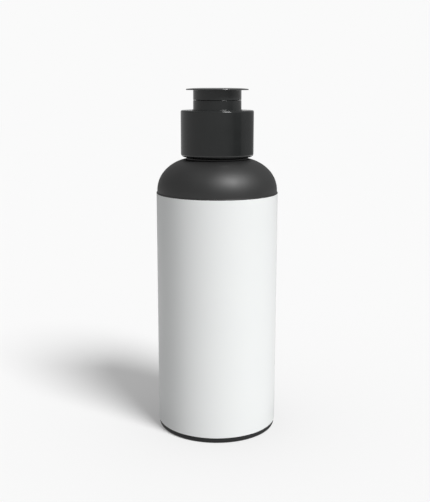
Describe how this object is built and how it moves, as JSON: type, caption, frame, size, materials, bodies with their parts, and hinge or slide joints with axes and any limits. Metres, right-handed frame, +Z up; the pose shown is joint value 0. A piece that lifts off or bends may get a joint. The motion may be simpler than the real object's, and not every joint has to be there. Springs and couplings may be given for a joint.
{
  "type": "shampoo bottle",
  "caption": "Round plastic shampoo bottle with a plain wrap label and a screw-on closure whose flanged spout pulls up to open and pushes down to plug the orifice.",
  "frame": {"origin": "centre of the bottle's base, on the surface that it stands on", "axes": "+Z up the bottle's axis towards the spout; -Y is the front; the label's seam is at the back, +Y"},
  "size_m": [0.055, 0.055, 0.1565],
  "materials": {
    "bottle_plastic": "matte black moulded polyethylene",
    "label_film": "white satin film label",
    "shell_plastic": "glossy black moulded polypropylene",
    "cap_plastic": "glossy black moulded polypropylene",
    "spout_plastic": "glossy black moulded polyethylene",
    "liner_foam": "white closed-cell foam"
  },
  "bodies": {
    "bottle": {"bottle": "bottle_plastic", "wrap_label": "label_film"},
    "liner": {"sealing_liner": "liner_foam"},
    "cap": {"threaded_cap": "cap_plastic", "cap_shell": "shell_plastic"},
    "spout": {"pull_spout": "spout_plastic"}
  },
  "joints": [
    {"name": "cap_rise", "type": "slide", "parent": "bottle", "child": "liner", "axis": [0, 0, 1], "range_m": [0, 0.0254]},
    {"name": "cap_unscrew", "type": "hinge", "parent": "liner", "child": "cap", "pos_m": [0, 0, 0.135], "axis": [0, 0, 1], "range_deg": [0, 2160]},
    {"name": "spout_pull", "type": "slide", "parent": "cap", "child": "spout", "axis": [0, 0, 1], "range_m": [0, 0.0036]}
  ],
  "couplings": [
    {"joint": "cap_rise", "follows": "cap_unscrew", "m_per_rad": 0.00067375}
  ]
}
